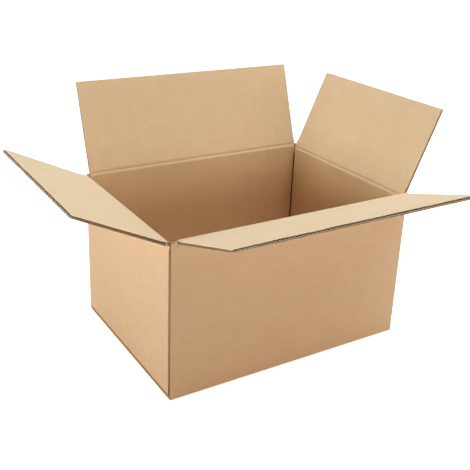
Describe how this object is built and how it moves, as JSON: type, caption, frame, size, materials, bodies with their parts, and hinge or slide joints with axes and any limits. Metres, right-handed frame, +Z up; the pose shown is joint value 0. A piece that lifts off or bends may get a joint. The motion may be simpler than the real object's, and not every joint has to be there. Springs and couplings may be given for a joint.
{
  "type": "open cardboard box",
  "caption": "Open shipping box of double-wall corrugated board, with hinged top flaps, closed bottom flaps and a glued corner seam, for packing and storing goods.",
  "frame": {"origin": "middle of the underside, on the surface the box stands on", "axes": "+X along the length of the box, +Y from the front wall to the back wall, +Z up"},
  "size_m": [0.6854, 0.5533, 0.4351],
  "materials": {
    "kraft_walls": "matt brown kraft liner",
    "kraft_flaps": "matt brown kraft liner, inner face a little paler"
  },
  "bodies": {
    "body": {"body": "kraft_walls"},
    "front_flap": {"front_flap": "kraft_flaps"},
    "back_flap": {"back_flap": "kraft_flaps"},
    "left_flap": {"left_flap": "kraft_flaps"},
    "right_flap": {"right_flap": "kraft_flaps"}
  },
  "joints": [
    {"name": "front_flap_fold", "type": "hinge", "parent": "body", "child": "front_flap", "pos_m": [0, -0.1685, 0.2761], "axis": [1, 0, 0], "range_deg": [-162, 66]},
    {"name": "back_flap_fold", "type": "hinge", "parent": "body", "child": "back_flap", "pos_m": [0, 0.1685, 0.2761], "axis": [-1, 0, 0], "range_deg": [-109, 119]},
    {"name": "left_flap_fold", "type": "hinge", "parent": "body", "child": "left_flap", "pos_m": [-0.232, 0, 0.2698], "axis": [0, -1, 0], "range_deg": [-154, 74]},
    {"name": "right_flap_fold", "type": "hinge", "parent": "body", "child": "right_flap", "pos_m": [0.232, 0, 0.2698], "axis": [0, 1, 0], "range_deg": [-114, 114]}
  ]
}
